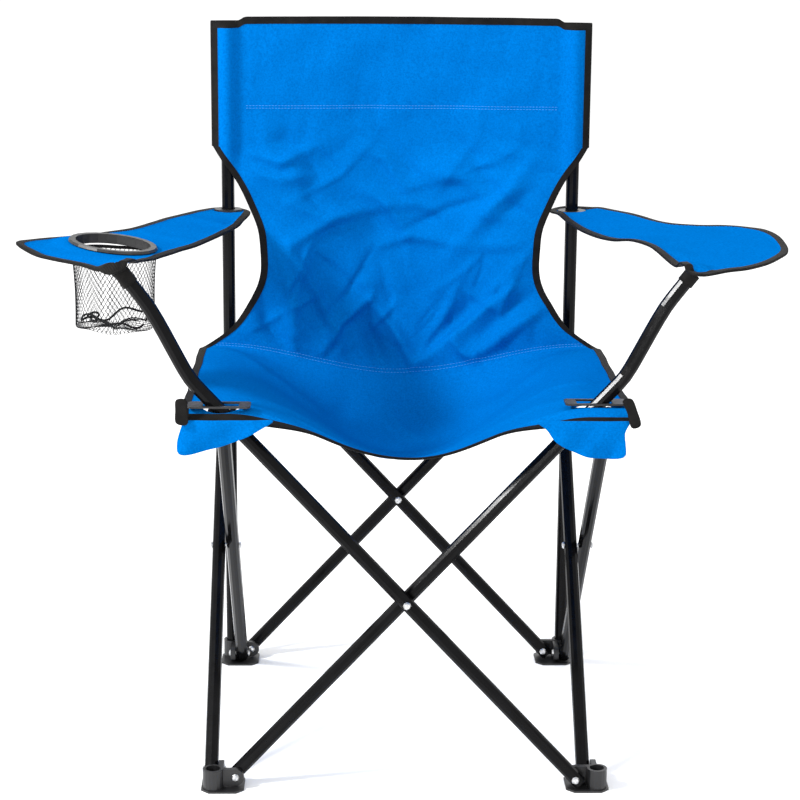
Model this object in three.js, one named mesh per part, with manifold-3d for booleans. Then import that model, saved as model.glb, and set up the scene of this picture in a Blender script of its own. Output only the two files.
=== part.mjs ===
// A folding camp chair: four pairs of crossed steel tubes, two back posts, moulded corner
// joints, one sling of cloth for seat and back, and two cloth arms, one with a cup holder.
// Millimetres, +Z up, the sitter faces -Y. The origin is on the floor under the middle.
import * as THREE from 'three';
import { mergeVertices } from 'three/addons/utils/BufferGeometryUtils.js';
import Module from 'manifold-3d';

const wasm = await Module();
wasm.setup();

// Tubes and layers. Each crossed pair lies in two layers, one on each side of a middle plane.
const TUBE_RADIUS = 8;
const TUBE_WALL = 1;
const TUBE_SIDES = 12;
const TUBE_OVERHANG = 8;
const LAYER_OFFSET = 8.3;
const GAP = 0.3;

// The frame: a square in plan, with every pivot a fixed distance from its corner.
const FRAME_HALF = 212;
const PIVOT_INSET = 20;
const PIVOT_HALF = FRAME_HALF - PIVOT_INSET;
const FOOT_PIVOT_Z = 14;
const CORNER_PIVOT_Z = 428;
const CROSS_Z = (FOOT_PIVOT_Z + CORNER_PIVOT_Z) / 2;
const POST_OFFSET = 217;
const POST_TOP_Z = 821;

// Moulded joints and rivets.
const SOCKET_RADIUS = 11.5;
const BORE_RADIUS = TUBE_RADIUS + GAP;
const FOOT_HEIGHT = 25;
const SOLE_THICKNESS = 2.2;
const EAR_THICKNESS = 6;
const EAR_RADIUS = 10;
const RIVET_RADIUS = 2.4;
const RIVET_HEAD_RADIUS = 4.6;
const RIVET_HEAD_HEIGHT = 2.4;
const RIVET_HOLE_RADIUS = RIVET_RADIUS + GAP;

// Cloth, arms and the cup holder.
const CLOTH_THICKNESS = 2.4;
const SLING_COLUMNS = 16;
const SLEEVE_BOTTOM_Z = 676;
const SLEEVE_TOP_Z = 836;
const ARM_Z = 592;
const ARM_THICKNESS = 4;
const ARM_TIP_X = 304;
const TIP_RISE = 11;
// Each arm leans: it rises towards its outer edge from a line between its post and its front.
const ARM_LEAN = 0.1228;
const ARM_LINE_SLOPE = 0.27;
const CUP_CENTRE = [-330, -85];
const CUP_RADIUS = 43.5;
const CUP_FLANGE_RADIUS = 50;
const CUP_DEPTH = 92;
const EYELET_RADIUS = 17.5;
const ARM_POCKET_BORE = 8.9;

const X_AXIS = new THREE.Vector3(1, 0, 0);
const Y_AXIS = new THREE.Vector3(0, 1, 0);
const Z_AXIS = new THREE.Vector3(0, 0, 1);

const chair = new THREE.Group();

function material(color, roughness, metalness = 0) {
  return new THREE.MeshStandardMaterial({ color, roughness, metalness });
}

const blackSteel = () => material(0x0b0b0c, 0.32, 0.2);
const blackPlastic = () => material(0x141416, 0.5);
const zincSteel = () => material(0xb9bcc0, 0.3, 1);
const blueCloth = () => material(0x0a6fe0, 0.85);
const blackTape = () => material(0x17171a, 0.8);
const blackNet = () => material(0x1b1b1d, 0.8);

function addPart(name, geometry, surface) {
  const mesh = new THREE.Mesh(geometry, surface);
  mesh.name = name;
  chair.add(mesh);
  return mesh;
}

// Boolean helpers: a closed geometry to a solid and back.
function toSolid(geometry) {
  const bare = geometry.clone();
  for (const name of Object.keys(bare.attributes)) {
    if (name !== 'position') bare.deleteAttribute(name);
  }
  const merged = mergeVertices(bare, 1e-4);
  return new wasm.Manifold(new wasm.Mesh({
    numProp: 3,
    vertProperties: new Float32Array(merged.attributes.position.array),
    triVerts: new Uint32Array(merged.index.array),
  }));
}

function toGeometry(solid) {
  const mesh = solid.getMesh();
  const geometry = new THREE.BufferGeometry();
  geometry.setAttribute('position', new THREE.BufferAttribute(mesh.vertProperties, 3));
  geometry.setIndex(new THREE.BufferAttribute(mesh.triVerts, 1));
  return geometry;
}

function without(geometry, cutters) {
  const cut = cutters.reduce((solid, cutter) => solid.subtract(toSolid(cutter)), toSolid(geometry));
  return toGeometry(cut);
}

function joined(pieces) {
  return toGeometry(pieces.map(toSolid).reduce((whole, piece) => whole.add(piece)));
}

// A round bar through a centre, along an axis.
function bar(radius, length, centre, axis, sides = 12) {
  const geometry = new THREE.CylinderGeometry(radius, radius, length, sides);
  geometry.applyQuaternion(new THREE.Quaternion().setFromUnitVectors(Y_AXIS, axis));
  return geometry.translate(centre.x, centre.y, centre.z);
}

function block(low, high) {
  const size = high.clone().sub(low);
  const middle = low.clone().add(high).multiplyScalar(0.5);
  return new THREE.BoxGeometry(size.x, size.y, size.z).translate(middle.x, middle.y, middle.z);
}

function outline(points) {
  return new THREE.Shape(points.map(([x, y]) => new THREE.Vector2(x, y)));
}

function ringShape(outer, inner) {
  const shape = new THREE.Shape().absarc(0, 0, outer, 0, 2 * Math.PI, false);
  shape.holes.push(new THREE.Path().absarc(0, 0, inner, 0, 2 * Math.PI, true));
  return shape;
}

// An outline drawn in X and Z, given a depth from one Y to another.
function plateInXZ(shape, fromY, toY) {
  const geometry = new THREE.ExtrudeGeometry(shape, { depth: toY - fromY, bevelEnabled: false });
  return geometry.rotateX(Math.PI / 2).translate(0, toY, 0);
}

// Tubes.
// The stations of a sweep follow the route's own points, so long straight runs stay light.
class SweepRoute extends THREE.CatmullRomCurve3 {
  getPointAt(u, target) {
    return this.getPoint(u, target);
  }

  getTangentAt(u, target) {
    return this.getTangent(u, target);
  }
}

function tubeAlong(route, steps) {
  return new THREE.ExtrudeGeometry(ringShape(TUBE_RADIUS, TUBE_RADIUS - TUBE_WALL), {
    steps,
    curveSegments: TUBE_SIDES / 2,
    bevelEnabled: false,
    extrudePath: route,
  });
}

function straightTube(from, to) {
  return tubeAlong(new THREE.LineCurve3(from, to), 1);
}

function beyond(from, to, distance) {
  return to.clone().add(to.clone().sub(from).setLength(distance));
}

function drilled(tube, pivots, axis) {
  const drill = (pivot) => bar(RIVET_HOLE_RADIUS, 3 * TUBE_RADIUS, pivot, axis, 8);
  return without(tube, pivots.map(drill));
}

// A leg from a foot pivot to a corner pivot, drilled at both ends and at the crossing.
function legTube(foot, corner, axis) {
  const middle = foot.clone().lerp(corner, 0.5);
  const tube = straightTube(beyond(corner, foot, TUBE_OVERHANG), beyond(foot, corner, TUBE_OVERHANG));
  return drilled(tube, [foot, middle, corner], axis);
}

// A front leg carries on past its seat corner and bends up to hold the front of an arm.
const ARM_TUBE_BENDS = [
  [223, 461], [236, 476], [248, 497], [263, 526], [278, 553], [291, 571], [305, 589],
];

function frontLegTube(side, y) {
  const foot = new THREE.Vector3(-side * PIVOT_HALF, y, FOOT_PIVOT_Z);
  const corner = new THREE.Vector3(side * PIVOT_HALF, y, CORNER_PIVOT_Z);
  const bends = ARM_TUBE_BENDS.map(([x, z]) => new THREE.Vector3(side * x, y, z));
  const cross = foot.clone().lerp(corner, 0.5);
  const route = new SweepRoute([beyond(corner, foot, TUBE_OVERHANG), cross, corner, ...bends]);
  return drilled(tubeAlong(route, 18), [foot, cross, corner], Y_AXIS);
}

// A square plate that lies on the floor, with its corners clipped.
function clippedPlate([low, high], thickness, clip) {
  const corners = [
    [low + clip, low], [high - clip, low], [high, low + clip], [high, high - clip],
    [high - clip, high], [low + clip, high], [low, high - clip], [low, low + clip],
  ];
  return new THREE.ExtrudeGeometry(outline(corners), { depth: thickness, bevelEnabled: false });
}

// Moulded corner joint, drawn for the rear right foot: a socket with two ears.
// The ear towards -Y has its tube outside, and the ear towards -X has its tube inside.
// The same moulding is used at each foot, turned by quarters, and upside down at each top corner.
function cornerJoint({ socketFrom, boreFrom, withSole }) {
  const pivotY = new THREE.Vector3(FRAME_HALF, PIVOT_HALF, FOOT_PIVOT_Z);
  const pivotX = new THREE.Vector3(PIVOT_HALF, FRAME_HALF, FOOT_PIVOT_Z);
  const outside = FRAME_HALF - GAP;
  const inside = FRAME_HALF + GAP;
  const sole = FOOT_PIVOT_Z - EAR_RADIUS - 2;
  const socketHeight = FOOT_HEIGHT - socketFrom;
  const socketCentre = new THREE.Vector3(POST_OFFSET, POST_OFFSET, FOOT_HEIGHT - socketHeight / 2);
  const earY = new THREE.Vector3(outside - EAR_THICKNESS / 2, pivotY.y, pivotY.z);
  const earX = new THREE.Vector3(pivotX.x, inside + EAR_THICKNESS / 2, pivotX.z);
  const pieces = [
    bar(SOCKET_RADIUS, socketHeight, socketCentre, Z_AXIS, 16),
    bar(EAR_RADIUS, EAR_THICKNESS, earY, X_AXIS, 14),
    bar(EAR_RADIUS, EAR_THICKNESS, earX, Y_AXIS, 14),
    block(
      new THREE.Vector3(outside - EAR_THICKNESS, pivotY.y, sole + 2),
      new THREE.Vector3(outside, POST_OFFSET, FOOT_PIVOT_Z + EAR_RADIUS),
    ),
    block(
      new THREE.Vector3(pivotX.x, inside, sole + 2),
      new THREE.Vector3(POST_OFFSET, inside + EAR_THICKNESS, FOOT_PIVOT_Z + EAR_RADIUS),
    ),
  ];
  if (withSole) {
    pieces.push(clippedPlate([PIVOT_HALF - EAR_RADIUS, POST_OFFSET + SOCKET_RADIUS + 2], SOLE_THICKNESS, 9));
  }
  const boreLength = 2 * FOOT_HEIGHT;
  const boreCentre = new THREE.Vector3(POST_OFFSET, POST_OFFSET, boreFrom + boreLength / 2);
  return without(joined(pieces), [
    bar(BORE_RADIUS + 0.1, boreLength, boreCentre, Z_AXIS, 12),
    bar(RIVET_HOLE_RADIUS, 30, pivotY, X_AXIS, 8),
    bar(RIVET_HOLE_RADIUS, 30, pivotX, Y_AXIS, 8),
  ]);
}

// A rivet through one stretch of an axis, with a domed head at each end.
function rivet(from, to) {
  const half = from.distanceTo(to) / 2;
  const top = half + RIVET_HEAD_HEIGHT;
  const profile = [
    [0, -top], [RIVET_HEAD_RADIUS * 0.7, -half - RIVET_HEAD_HEIGHT * 0.75],
    [RIVET_HEAD_RADIUS, -half], [RIVET_RADIUS, -half],
    [RIVET_RADIUS, half], [RIVET_HEAD_RADIUS, half],
    [RIVET_HEAD_RADIUS * 0.7, half + RIVET_HEAD_HEIGHT * 0.75], [0, top],
  ];
  const geometry = new THREE.LatheGeometry(profile.map(([r, y]) => new THREE.Vector2(r, y)), 8);
  const axis = to.clone().sub(from).normalize();
  geometry.applyQuaternion(new THREE.Quaternion().setFromUnitVectors(Y_AXIS, axis));
  const middle = from.clone().add(to).multiplyScalar(0.5);
  return geometry.translate(middle.x, middle.y, middle.z);
}

// Cloth. Each station across the sling holds the Y and Z of its edge, the Y and Z of its
// middle, and its half width. Stations run from the front of the seat to the top of the back.
const SLING = {
  front: { edge: [-238.8, 444], middle: [-229, 389], half: 246, reach: 0.8 },
  hem: { edge: [-190, 441], middle: [-180, 373], half: 247, reach: 0.82 },
  knee: { edge: [-120, 436], middle: [-112, 353], half: 248, reach: 0.85 },
  centre: { edge: [0, 431], middle: [0, 326], half: 251, reach: 0.9 },
  hip: { edge: [98, 432], middle: [95, 319], half: 254, reach: 1 },
  rear: { edge: [146, 431], middle: [163, 341], half: 256, reach: 0.98 },
  seam: { edge: [172, 431], middle: [204, 389], half: 252, reach: 0.96 },
  turn: { edge: [179, 452], middle: [216, 415], half: 217, reach: 0.95 },
  lumbar: { edge: [189, 482], middle: [224, 441], half: 191, reach: 1 },
  waist: { edge: [200, 560], middle: [234, 545], half: 177, reach: 1 },
  shoulder: { edge: [203, 614], middle: [234, 622], half: 194, reach: 0.95 },
  underSleeve: { edge: [204, 670], middle: [229, 690], half: 234, reach: 0.9 },
  sleeveFoot: { edge: [211, SLEEVE_BOTTOM_Z], middle: [228, 698], half: 197.5, reach: 0.9 },
  stitch: { edge: [216, 727], middle: [224, 735], half: 197.5, reach: 0.9 },
  top: { edge: [217, SLEEVE_TOP_Z], middle: [218, 834], half: 197.5, reach: 0.9 },
};

// How far a point across the sling hangs between its edge, 0, and its middle, 1.
function sagShare(u, reach) {
  const hang = (place) => 0.5 * (1 + Math.cos(Math.PI * Math.min(Math.abs(place) / reach, 1)));
  return (hang(u) - hang(1)) / (1 - hang(1));
}

function slingPoint(station, u) {
  const share = sagShare(u, station.reach);
  const y = THREE.MathUtils.lerp(station.edge[0], station.middle[0], share);
  const z = THREE.MathUtils.lerp(station.edge[1], station.middle[1], share);
  return new THREE.Vector3(u * station.half, y, z);
}

// Stations between two named ones, by a smooth curve through all that are given.
function smoothStations(stations, perSpan) {
  const line = (pick) => new THREE.CatmullRomCurve3(stations.map(pick));
  const reaches = line(({ reach }) => new THREE.Vector3(reach, 0, 0));
  const edges = line(({ edge, half }) => new THREE.Vector3(half, ...edge));
  const middles = line(({ middle, half }) => new THREE.Vector3(half, ...middle));
  const count = (stations.length - 1) * perSpan;
  return Array.from({ length: count + 1 }, (_, index) => {
    const edge = edges.getPoint(index / count);
    const middle = middles.getPoint(index / count);
    const reach = reaches.getPoint(index / count).x;
    return { edge: [edge.y, edge.z], middle: [middle.y, middle.z], half: edge.x, reach };
  });
}

// Points across each station, from the left edge to the right.
function slingGrid(stations, perSpan) {
  const across = Array.from({ length: SLING_COLUMNS + 1 }, (_, index) => (2 * index) / SLING_COLUMNS - 1);
  return smoothStations(stations, perSpan).map((station) => across.map((u) => slingPoint(station, u)));
}

function gridNormal(grid, row, column) {
  const line = grid[row];
  const across = line[Math.min(column + 1, line.length - 1)].clone().sub(line[Math.max(column - 1, 0)]);
  const along = grid[Math.min(row + 1, grid.length - 1)][column].clone();
  return across.cross(along.sub(grid[Math.max(row - 1, 0)][column])).normalize();
}

// A closed sheet over some rows of a grid, thick by the same amount on each side of them. Its
// first row stands a little way in, which leaves a gap to the sheet before it.
function sheetFromGrid(grid, firstRow, lastRow) {
  const columns = grid[0].length;
  const rows = lastRow - firstRow + 1;
  const positions = [];
  for (const sign of [1, -1]) {
    for (let row = firstRow; row <= lastRow; row += 1) {
      for (let column = 0; column < columns; column += 1) {
        const point = grid[row][column].clone();
        if (row === firstRow) {
          const step = grid[row + 1][column].clone().sub(point);
          point.add(step.setLength(2 * GAP));
        }
        const offset = gridNormal(grid, row, column).multiplyScalar(sign * CLOTH_THICKNESS / 2);
        positions.push(...point.add(offset).toArray());
      }
    }
  }
  const layer = rows * columns;
  const triangles = [];
  const quad = (p, q, r, t) => triangles.push(p, q, r, p, r, t);
  const at = (row, column) => row * columns + column;
  for (let row = 0; row < rows - 1; row += 1) {
    for (let column = 0; column < columns - 1; column += 1) {
      const corners = [at(row, column), at(row, column + 1), at(row + 1, column + 1), at(row + 1, column)];
      quad(...corners);
      quad(...corners.map((corner) => corner + layer).reverse());
    }
  }
  const rim = [];
  for (let column = 0; column < columns - 1; column += 1) rim.push(at(0, column));
  for (let row = 0; row < rows - 1; row += 1) rim.push(at(row, columns - 1));
  for (let column = columns - 1; column > 0; column -= 1) rim.push(at(rows - 1, column));
  for (let row = rows - 1; row > 0; row -= 1) rim.push(at(row, 0));
  rim.forEach((corner, index) => {
    const next = rim[(index + 1) % rim.length];
    quad(next, corner, corner + layer, next + layer);
  });
  const geometry = new THREE.BufferGeometry();
  geometry.setAttribute('position', new THREE.Float32BufferAttribute(positions, 3));
  geometry.setIndex(triangles);
  return geometry;
}

// The slot that a front leg passes through, long enough for the leg to swing as it folds.
function legSlot(side, growth) {
  const y = legLayerY(side);
  const halfWidth = TUBE_RADIUS + growth;
  const inner = side * (184 - growth / 2);
  const outer = side * (222 + growth / 2);
  return block(
    new THREE.Vector3(Math.min(inner, outer), y - halfWidth, 425),
    new THREE.Vector3(Math.max(inner, outer), y + halfWidth, 465),
  );
}

// The left arm's leg runs in the outer layer of the front pair, the right arm's in the inner.
function legLayerY(side) {
  return -FRAME_HALF + side * LAYER_OFFSET;
}

function addFrame() {
  const at = (x, y, z) => new THREE.Vector3(x, y, z);
  const outer = FRAME_HALF + LAYER_OFFSET;
  const inner = FRAME_HALF - LAYER_OFFSET;
  const low = FOOT_PIVOT_Z;
  const high = CORNER_PIVOT_Z;
  const legs = [
    ['rear_leg_tube_left', at(-PIVOT_HALF, outer, low), at(PIVOT_HALF, outer, high), Y_AXIS],
    ['rear_leg_tube_right', at(PIVOT_HALF, inner, low), at(-PIVOT_HALF, inner, high), Y_AXIS],
    ['left_side_tube_front', at(-outer, -PIVOT_HALF, low), at(-outer, PIVOT_HALF, high), X_AXIS],
    ['left_side_tube_rear', at(-inner, PIVOT_HALF, low), at(-inner, -PIVOT_HALF, high), X_AXIS],
    ['right_side_tube_front', at(inner, -PIVOT_HALF, low), at(inner, PIVOT_HALF, high), X_AXIS],
    ['right_side_tube_rear', at(outer, PIVOT_HALF, low), at(outer, -PIVOT_HALF, high), X_AXIS],
  ];
  for (const [name, foot, corner, axis] of legs) addPart(name, legTube(foot, corner, axis), blackSteel());
  addPart('front_leg_tube_right', frontLegTube(-1, legLayerY(-1)), blackSteel());
  addPart('front_leg_tube_left', frontLegTube(1, legLayerY(1)), blackSteel());
  for (const [name, side] of [['left_back_post', -1], ['right_back_post', 1]]) {
    const x = side * POST_OFFSET;
    addPart(name, straightTube(at(x, POST_OFFSET, 4 + GAP), at(x, POST_OFFSET, POST_TOP_Z)), blackSteel());
  }
}

// Quarter turns from the rear right corner, by corner name.
const CORNERS = [['rear_right', 0], ['rear_left', 1], ['front_left', 2], ['front_right', 3]];

function addCornerJoints() {
  const foot = cornerJoint({ socketFrom: 0, boreFrom: 4, withSole: true });
  const turnedOver = cornerJoint({ socketFrom: 12.5, boreFrom: -10, withSole: false });
  // Turned over about the diagonal, which keeps the socket on its corner.
  const diagonal = new THREE.Vector3(1, 1, 0).normalize();
  turnedOver.applyQuaternion(new THREE.Quaternion().setFromAxisAngle(diagonal, Math.PI));
  turnedOver.translate(0, 0, CORNER_PIVOT_Z + FOOT_PIVOT_Z);
  // Relief for a leg that runs on past the joint.
  const leg = new THREE.Vector3(0, 2 * PIVOT_HALF, CORNER_PIVOT_Z - FOOT_PIVOT_Z).normalize();
  const legCentre = new THREE.Vector3(FRAME_HALF - LAYER_OFFSET, PIVOT_HALF, CORNER_PIVOT_Z);
  const topJoint = without(turnedOver, [bar(TUBE_RADIUS + 2 * GAP, 120, legCentre, leg, 16)]);
  for (const [corner, quarters] of CORNERS) {
    const turn = (quarters * Math.PI) / 2;
    addPart(`foot_${corner}`, foot.clone(), blackPlastic()).rotation.z = turn;
    const topName = corner.startsWith('rear') ? `slider_${corner}` : `seat_joint_${corner}`;
    addPart(topName, topJoint.clone(), blackPlastic()).rotation.z = turn;
  }
}

function addRivets() {
  const headGap = GAP;
  const outside = FRAME_HALF + LAYER_OFFSET + TUBE_RADIUS + headGap;
  const inside = FRAME_HALF - LAYER_OFFSET - TUBE_RADIUS - headGap;
  const outerEar = FRAME_HALF - GAP - EAR_THICKNESS - headGap;
  const innerEar = FRAME_HALF + GAP + EAR_THICKNESS + headGap;
  // Drawn for the rear right corner, as the joints are: at a foot the -Y ear has its tube
  // outside, and at a top corner the -X ear does.
  for (const [corner, quarters] of CORNERS) {
    const turn = (quarters * Math.PI) / 2;
    const rivets = [
      [`foot_${corner}_rivet_a`, [outside, PIVOT_HALF], [outerEar, PIVOT_HALF], FOOT_PIVOT_Z],
      [`foot_${corner}_rivet_b`, [PIVOT_HALF, innerEar], [PIVOT_HALF, inside], FOOT_PIVOT_Z],
      [`top_${corner}_rivet_a`, [PIVOT_HALF, outside], [PIVOT_HALF, outerEar], CORNER_PIVOT_Z],
      [`top_${corner}_rivet_b`, [innerEar, PIVOT_HALF], [inside, PIVOT_HALF], CORNER_PIVOT_Z],
    ];
    for (const [name, from, to, z] of rivets) {
      const geometry = rivet(new THREE.Vector3(...from, z), new THREE.Vector3(...to, z));
      addPart(name, geometry, zincSteel()).rotation.z = turn;
    }
  }
  CORNERS.forEach(([, quarters], index) => {
    const name = ['right_cross_rivet', 'rear_cross_rivet', 'left_cross_rivet', 'front_cross_rivet'][index];
    const geometry = rivet(new THREE.Vector3(outside, 0, CROSS_Z), new THREE.Vector3(inside, 0, CROSS_Z));
    addPart(name, geometry, zincSteel()).rotation.z = (quarters * Math.PI) / 2;
  });
}

// The sling is one sewn cloth. It is cut where it folds: behind the front hem, across the
// middle of the seat, at the seam between seat and back, at the waist and below the sleeves.
function addSling() {
  const { front, hem, knee, centre, hip, rear, seam, turn, lumbar, waist, shoulder, underSleeve } = SLING;
  const slots = [-1, 1].map((side) => legSlot(side, 1.5));
  const main = [front, hem, knee, centre, hip, rear, seam, turn, lumbar, waist, shoulder, underSleeve];
  const grid = slingGrid(main, 2);
  const piece = (from, to) => sheetFromGrid(grid, 2 * main.indexOf(from), 2 * main.indexOf(to));
  addPart('seat_hem', without(piece(front, hem), slots), blueCloth());
  addPart('seat_front', piece(hem, centre), blueCloth());
  addPart('seat_rear', piece(centre, seam), blueCloth());
  addPart('back_lower', piece(seam, waist), blueCloth());
  addPart('back_middle', piece(waist, underSleeve), blueCloth());
  const { sleeveFoot, stitch, top } = SLING;
  addPart('back_upper', sheetFromGrid(slingGrid([sleeveFoot, stitch, top], 2), 0, 4), blueCloth());
}

// A flat sleeve sewn round the top of each post.
function addSleeves() {
  for (const [name, side] of [['left_sleeve', -1], ['right_sleeve', 1]]) {
    const shape = new THREE.Shape();
    shape.moveTo(side * -18.6, -4);
    shape.quadraticCurveTo(0, -16, side * 18, -2);
    shape.lineTo(side * 18, 2);
    shape.quadraticCurveTo(0, 16, side * -18.6, 4);
    const depth = SLEEVE_TOP_Z - SLEEVE_BOTTOM_Z;
    const sleeve = new THREE.ExtrudeGeometry(shape, { depth, bevelEnabled: false, curveSegments: 8 });
    const bore = bar(BORE_RADIUS + 0.1, 3 * depth, new THREE.Vector3(), Z_AXIS, 12);
    const hollow = without(sleeve, [bore]);
    addPart(name, hollow.translate(side * POST_OFFSET, POST_OFFSET, SLEEVE_BOTTOM_Z), blueCloth());
  }
}

function addPostCaps() {
  for (const [name, side] of [['left_post_cap', -1], ['right_post_cap', 1]]) {
    const plug = TUBE_RADIUS - TUBE_WALL - GAP;
    const profile = [[0, -12], [plug, -12], [plug, GAP], [TUBE_RADIUS, GAP], [TUBE_RADIUS - 2, 4], [0, 5]];
    const cap = new THREE.LatheGeometry(profile.map(([r, y]) => new THREE.Vector2(r, y)), 12);
    cap.rotateX(Math.PI / 2).translate(side * POST_OFFSET, POST_OFFSET, POST_TOP_Z);
    addPart(name, cap, blackPlastic());
  }
}

// The pouch under each front corner of the seat, open below and behind, that the joint pulls on.
function addCornerPouches() {
  for (const [name, side] of [['left_corner_pouch', -1], ['right_corner_pouch', 1]]) {
    const face = [[251, 438], [258, 398], [236, 404], [168, 424], [168, 431], [192, 438]];
    const hollow = [[249.5, 460], [255.8, 403], [234, 406], [234, 380], [150, 380], [150, 460]];
    const mirrored = (points) => outline(points.map(([x, z]) => [side * x, z]));
    const shell = plateInXZ(mirrored(face), -240, -192);
    const space = plateInXZ(mirrored(hollow), -238.2, -150);
    addPart(name, without(shell, [space]), blueCloth());
  }
}

function addCornerPlates() {
  for (const [name, side] of [['left_corner_plate', -1], ['right_corner_plate', 1]]) {
    const [x, y] = [side * 205, legLayerY(side)];
    const shape = outline([
      [x - 34, y - 10], [x - 31, y - 13], [x + 31, y - 13], [x + 34, y - 10],
      [x + 34, y + 10], [x + 31, y + 13], [x - 31, y + 13], [x - 34, y + 10],
    ]);
    const plate = new THREE.ExtrudeGeometry(shape, { depth: 2, bevelEnabled: false });
    plate.translate(0, 0, 446);
    addPart(name, without(plate, [legSlot(side, 1)]), blackPlastic());
  }
}

// Arms. Outline of the left arm in X and Y, from the back round the inner edge.
const ARM_OUTLINE = [
  [-190, 200], [-195, 150], [-209, 75], [-236, -5], [-268, -85], [-286, -150], [-292, -212],
  [-304, -234], [-324, -232], [-366, -198], [-410, -164], [-430, -134], [-428, -95], [-410, -48],
  [-378, -2], [-332, 40], [-294, 125], [-256, 205],
];

function armOutline(side) {
  const points = ARM_OUTLINE.map(([x, y]) => new THREE.Vector2(-side * x, y));
  const shape = new THREE.Shape();
  shape.moveTo(points[0].x, points[0].y);
  shape.splineThru(points.slice(1));
  shape.quadraticCurveTo(side * 250, 240, side * POST_OFFSET, 240);
  shape.quadraticCurveTo(side * 189, 240, points[0].x, points[0].y);
  return shape;
}

function armRise(x, y) {
  return ARM_LEAN * (Math.abs(x) - POST_OFFSET - ARM_LINE_SLOPE * (POST_OFFSET - y));
}

// The arm cloth stands up over the end of its tube.
function tipRise(side, x, y) {
  const away = Math.hypot(x - side * ARM_TIP_X, y - legLayerY(side));
  return TIP_RISE * (1 - THREE.MathUtils.smoothstep(away, 11, 44));
}

// Lifts each point by the lean of the arm, as far as a share of its own height says.
function leaned(geometry, share) {
  const position = geometry.attributes.position;
  for (let index = 0; index < position.count; index += 1) {
    const [x, y, z] = [position.getX(index), position.getY(index), position.getZ(index)];
    position.setZ(index, z + share(z) * armRise(x, y));
  }
  return geometry;
}

function raisedTip(geometry, side) {
  const fine = toSolid(geometry).refineToLength(14);
  return toGeometry(fine.warp((point) => { point[2] += tipRise(side, point[0], point[1]); }));
}

function addArms() {
  for (const [name, side] of [['left_armrest', -1], ['right_armrest', 1]]) {
    const settings = { depth: ARM_THICKNESS, bevelEnabled: false, curveSegments: 3 };
    const flat = new THREE.ExtrudeGeometry(armOutline(side), settings).translate(0, 0, ARM_Z);
    const arm = raisedTip(leaned(flat, () => 1), side);
    const hole = (x, y, radius) => bar(radius, 60, new THREE.Vector3(x, y, ARM_Z), Z_AXIS, 24);
    const holes = [hole(side * POST_OFFSET, POST_OFFSET, EYELET_RADIUS + 0.5)];
    if (side < 0) holes.push(hole(...CUP_CENTRE, CUP_RADIUS + 2.6));
    addPart(name, without(arm, holes), blueCloth());
  }
}

function addArmEyelets() {
  for (const [name, side] of [['left_arm_eyelet', -1], ['right_arm_eyelet', 1]]) {
    const settings = { depth: 6, bevelEnabled: false, curveSegments: 14 };
    const ring = new THREE.ExtrudeGeometry(ringShape(EYELET_RADIUS, 9), settings);
    addPart(name, ring.translate(side * POST_OFFSET, POST_OFFSET, ARM_Z - 1), blackPlastic());
  }
}

// A closed pocket of tape under the front of each arm, over the end of its tube.
function addArmPockets() {
  for (const [name, side] of [['left_arm_pocket', -1], ['right_arm_pocket', 1]]) {
    const [before, end] = ARM_TUBE_BENDS.slice(-2).map(([x, z]) => new THREE.Vector3(side * x, legLayerY(side), z));
    const along = end.clone().sub(before).normalize();
    const profile = [
      [ARM_POCKET_BORE, -13], [ARM_POCKET_BORE + 1, -13], [ARM_POCKET_BORE + 1, 1.8],
      [0, 1.8], [0, 0.6], [ARM_POCKET_BORE, 0.6], [ARM_POCKET_BORE, -13],
    ];
    const pocket = new THREE.LatheGeometry(profile.map(([r, y]) => new THREE.Vector2(r, y)), 12);
    pocket.applyQuaternion(new THREE.Quaternion().setFromUnitVectors(Y_AXIS, along));
    addPart(name, pocket.translate(end.x, end.y, end.z), blackTape());
  }
}

function lathed(profile, sides, centre, z) {
  const geometry = new THREE.LatheGeometry(profile.map(([r, y]) => new THREE.Vector2(r, y)), sides);
  return geometry.rotateX(Math.PI / 2).translate(centre[0], centre[1], z);
}

function addCupHolder() {
  const wall = 1.4;
  const flangeZ = ARM_THICKNESS + GAP;
  const ring = [
    [CUP_RADIUS - wall, -4], [CUP_RADIUS, -4], [CUP_RADIUS, flangeZ],
    [CUP_FLANGE_RADIUS, flangeZ], [CUP_FLANGE_RADIUS - 1.5, flangeZ + 2.6],
    [CUP_RADIUS - wall, flangeZ + 2.6], [CUP_RADIUS - wall, -4],
  ];
  addPart('cup_ring', leaned(lathed(ring, 24, CUP_CENTRE, ARM_Z), () => 1), blackPlastic());
  const netRadius = CUP_RADIUS + 2 * GAP;
  const net = [
    [netRadius, -1], [netRadius, -CUP_DEPTH + 14], [netRadius - 12, -CUP_DEPTH + wall], [0, -CUP_DEPTH + wall],
    [0, -CUP_DEPTH], [netRadius - 11, -CUP_DEPTH], [netRadius + wall, -CUP_DEPTH + 13], [netRadius + wall, -1],
    [netRadius, -1],
  ];
  const bag = leaned(lathed(net, 20, CUP_CENTRE, ARM_Z), (z) => (z > ARM_Z - 5 ? 1 : 0));
  addPart('cup_net', bag, blackNet());
}

addFrame();
addCornerJoints();
addRivets();
addSling();
addSleeves();
addPostCaps();
addCornerPouches();
addCornerPlates();
addArms();
addArmEyelets();
addArmPockets();
addCupHolder();

export default chair;
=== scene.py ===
"""A folding camp chair: black tube frame, blue cloth sling with black binding, two cloth arms.

Sizes in the builders are millimetres, and meshes are made in metres.
"""

import math

import bpy
import numpy as np
from mathutils import Matrix, Vector
from mathutils.geometry import delaunay_2d_cdt


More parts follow.
